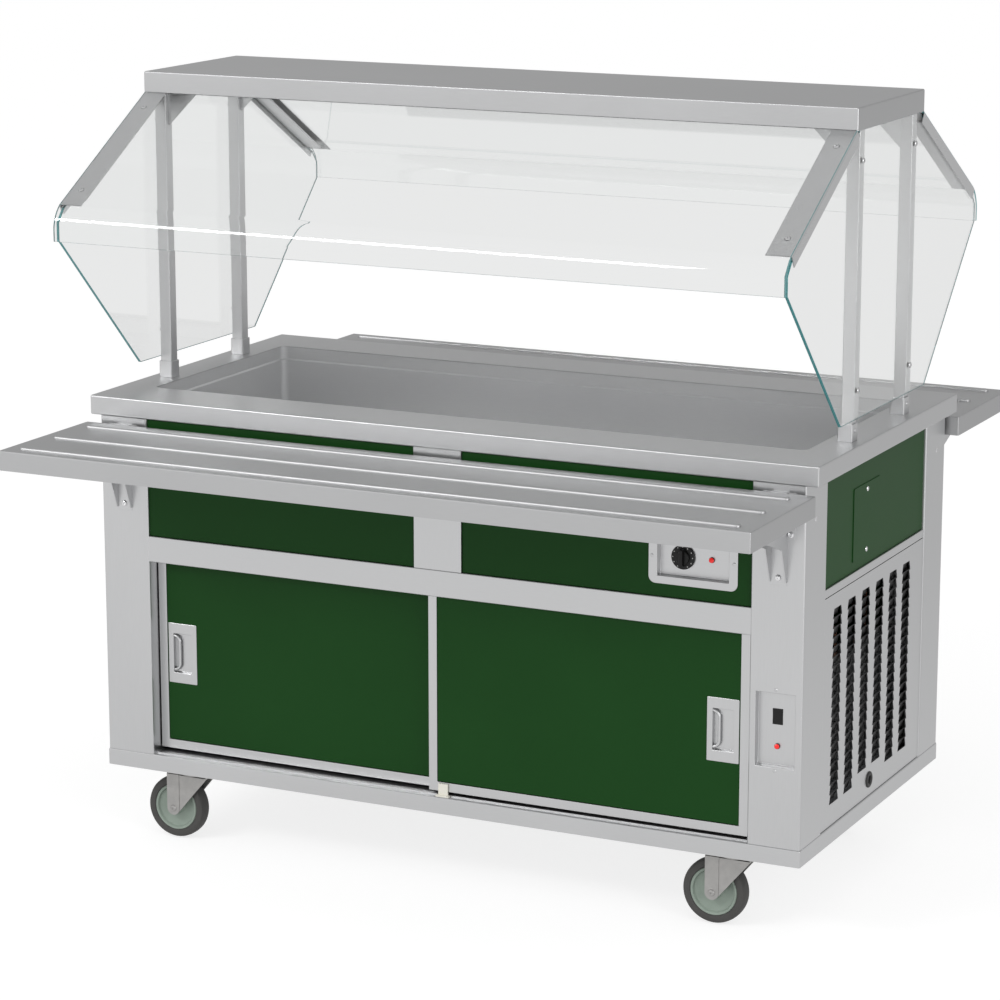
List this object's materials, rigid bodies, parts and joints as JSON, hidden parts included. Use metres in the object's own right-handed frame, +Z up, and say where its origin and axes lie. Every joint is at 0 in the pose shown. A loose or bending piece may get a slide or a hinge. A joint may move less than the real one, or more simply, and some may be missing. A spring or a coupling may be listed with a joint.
{
  "type": "mobile refrigerated salad bar",
  "caption": "Mobile refrigerated salad bar: a long cabinet on swivel casters with sliding doors, a cold well, ribbed tray slides and an overshelf with a bent glass food guard.",
  "frame": {"origin": "on the floor under the middle of the counter", "axes": "+X along the bar towards the end with the louvres and controls, -Y towards the side with the doors and the thermostat, +Z up"},
  "size_m": [1.524, 1.408, 1.524],
  "materials": {
    "stainless": "satin, finely brushed along each piece",
    "green_coat": "smooth dark green powder coat, low gloss",
    "glass": "clear polished glass with green edges",
    "zinc": "bright zinc plate",
    "wheel_rubber": "dark grey moulded tread on a grey-green hub",
    "black_plastic": "moulded, slightly soft sheen",
    "cream_nylon": "moulded nylon",
    "red_lens": "clear red lens",
    "black_rubber": "moulded rubber",
    "copper": "drawn copper tube",
    "foam": "foamed in place",
    "black_paint": "black enamel",
    "aluminium": "mill finish"
  },
  "bodies": {
    "cabinet": {"base_pan": "stainless", "caster_plates": "stainless", "corner_post_front_left": "stainless", "corner_post_front_right": "stainless", "corner_post_rear_left": "stainless", "corner_post_rear_right": "stainless", "frame_rails": "stainless", "louvre_panel": "stainless", "machine_divider": "stainless", "counter_top": "stainless", "well_liner": "stainless", "well_case": "stainless", "drain_valve": "stainless", "condensing_base": "stainless", "overshelf": "stainless", "shelf_posts": "stainless", "glass_arms": "stainless", "glass_clamps": "stainless", "front_tray_slide": "stainless", "rear_tray_slide": "stainless", "tray_brackets": "stainless", "door_tracks": "stainless", "thermostat_housing": "stainless", "switch_housing": "stainless", "rear_panel": "green_coat", "upper_panel_left": "green_coat", "upper_panel_right": "green_coat", "left_end_panel": "green_coat", "right_end_panel": "green_coat", "access_hatch": "green_coat", "front_glass": "glass", "rear_glass": "glass", "left_end_glass": "glass", "right_end_glass": "glass", "door_guide": "cream_nylon", "pilot_lights": "red_lens", "cord_grommet": "black_rubber", "refrigerant_tubing": "copper", "well_insulation": "foam", "compressor": "black_paint", "condenser_coil": "aluminium", "fan_motor": "aluminium"},
    "left_door": {"left_door_frame": "stainless", "left_door_panel": "green_coat", "left_door_pull": "stainless"},
    "right_door": {"right_door_frame": "stainless", "right_door_panel": "green_coat", "right_door_pull": "stainless"},
    "thermostat_dial": {"thermostat_knob": "black_plastic"},
    "rocker": {"switch_rocker": "black_plastic"},
    "drain_handle": {"drain_lever": "stainless"},
    "fan": {"fan_blade": "aluminium"},
    "front_left_swivel": {"front_left_caster_fork": "zinc"},
    "front_left_roller": {"front_left_caster_wheel": "wheel_rubber"},
    "front_right_swivel": {"front_right_caster_fork": "zinc"},
    "front_right_roller": {"front_right_caster_wheel": "wheel_rubber"},
    "rear_left_swivel": {"rear_left_caster_fork": "zinc"},
    "rear_left_roller": {"rear_left_caster_wheel": "wheel_rubber"},
    "rear_right_swivel": {"rear_right_caster_fork": "zinc"},
    "rear_right_roller": {"rear_right_caster_wheel": "wheel_rubber"}
  },
  "joints": [
    {"name": "left_door_slide", "type": "slide", "parent": "cabinet", "child": "left_door", "axis": [1, 0, 0], "range_m": [0, 0.6]},
    {"name": "right_door_slide", "type": "slide", "parent": "cabinet", "child": "right_door", "axis": [-1, 0, 0], "range_m": [0, 0.6]},
    {"name": "thermostat_turn", "type": "hinge", "parent": "cabinet", "child": "thermostat_dial", "pos_m": [0.496, -0.3625, 0.712], "axis": [0, 1, 0], "range_deg": [0, 300]},
    {"name": "switch_rock", "type": "hinge", "parent": "cabinet", "child": "rocker", "pos_m": [0.687, -0.363, 0.435], "axis": [1, 0, 0], "range_deg": [-8, 8]},
    {"name": "drain_turn", "type": "hinge", "parent": "cabinet", "child": "drain_handle", "pos_m": [-0.48, -0.022, 0.618], "axis": [0, 1, 0], "range_deg": [0, 90]},
    {"name": "fan_spin", "type": "hinge", "parent": "cabinet", "child": "fan", "pos_m": [0.645, 0, 0.3475], "axis": [1, 0, 0], "continuous": true},
    {"name": "front_left_swivel_turn", "type": "hinge", "parent": "cabinet", "child": "front_left_swivel", "pos_m": [-0.585, -0.303, 0.145], "axis": [0, 0, 1], "continuous": true},
    {"name": "front_left_wheel_roll", "type": "hinge", "parent": "front_left_swivel", "child": "front_left_roller", "pos_m": [-0.625, -0.303, 0.0635], "axis": [0, 1, 0], "continuous": true},
    {"name": "front_right_swivel_turn", "type": "hinge", "parent": "cabinet", "child": "front_right_swivel", "pos_m": [0.585, -0.303, 0.145], "axis": [0, 0, 1], "continuous": true},
    {"name": "front_right_wheel_roll", "type": "hinge", "parent": "front_right_swivel", "child": "front_right_roller", "pos_m": [0.545, -0.303, 0.0635], "axis": [0, 1, 0], "continuous": true},
    {"name": "rear_left_swivel_turn", "type": "hinge", "parent": "cabinet", "child": "rear_left_swivel", "pos_m": [-0.585, 0.303, 0.145], "axis": [0, 0, 1], "continuous": true},
    {"name": "rear_left_wheel_roll", "type": "hinge", "parent": "rear_left_swivel", "child": "rear_left_roller", "pos_m": [-0.625, 0.303, 0.0635], "axis": [0, 1, 0], "continuous": true},
    {"name": "rear_right_swivel_turn", "type": "hinge", "parent": "cabinet", "child": "rear_right_swivel", "pos_m": [0.585, 0.303, 0.145], "axis": [0, 0, 1], "continuous": true},
    {"name": "rear_right_wheel_roll", "type": "hinge", "parent": "rear_right_swivel", "child": "rear_right_roller", "pos_m": [0.545, 0.303, 0.0635], "axis": [0, 1, 0], "continuous": true}
  ]
}
